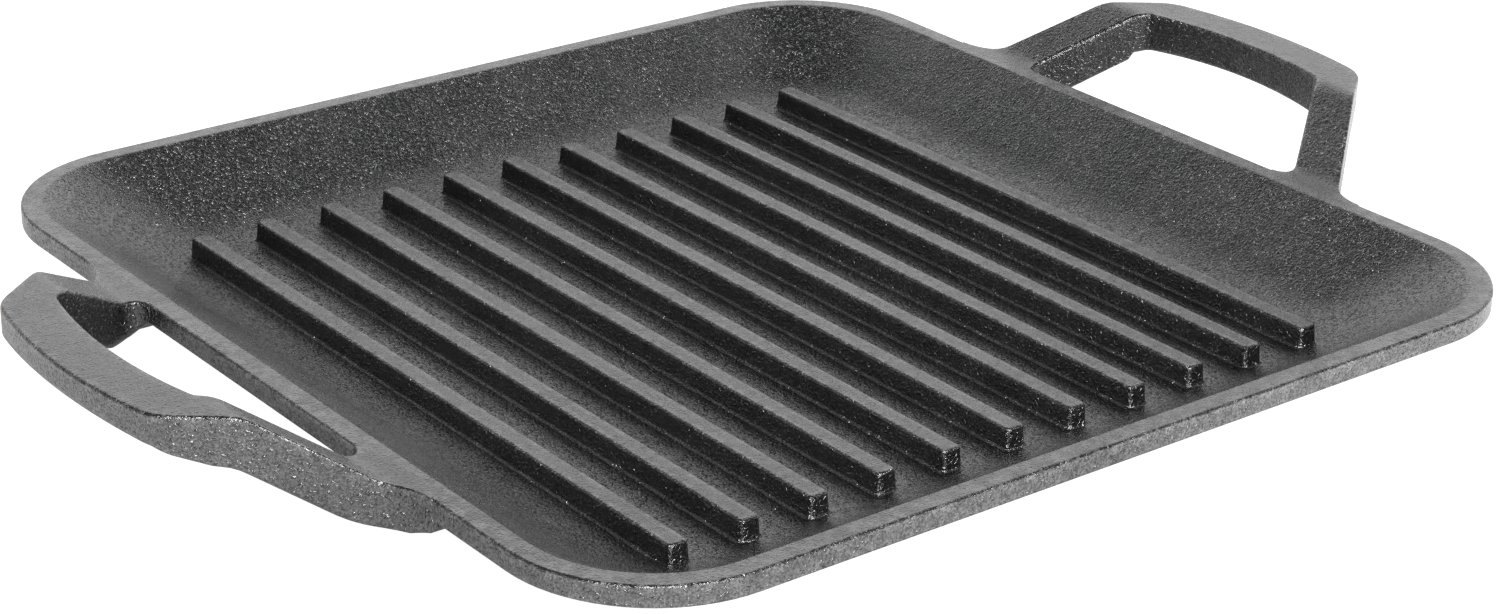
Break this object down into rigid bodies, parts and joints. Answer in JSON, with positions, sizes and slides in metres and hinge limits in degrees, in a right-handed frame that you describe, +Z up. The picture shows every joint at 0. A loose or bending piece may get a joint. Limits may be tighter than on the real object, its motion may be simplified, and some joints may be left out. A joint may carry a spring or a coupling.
{
  "type": "square grill pan",
  "caption": "Shallow square cast iron grill pan with sloped walls, a flat rim, raised grill ribs and two raised loop handles.",
  "frame": {"origin": "centre of the flat underside, on the surface that the pan rests on", "axes": "+X from handle to handle, +Y along the ribs, +Z up"},
  "size_m": [0.3728, 0.2794, 0.0374],
  "materials": {
    "seasoned_iron": "seasoned as-cast iron, fine pebbled grain, satin black"
  },
  "bodies": {
    "root": {"pan_body": "seasoned_iron", "handle_left": "seasoned_iron", "handle_right": "seasoned_iron", "rib_01": "seasoned_iron", "rib_02": "seasoned_iron", "rib_03": "seasoned_iron", "rib_04": "seasoned_iron", "rib_05": "seasoned_iron", "rib_06": "seasoned_iron", "rib_07": "seasoned_iron", "rib_08": "seasoned_iron", "rib_09": "seasoned_iron", "rib_10": "seasoned_iron", "rib_11": "seasoned_iron"}
  },
  "joints": []
}
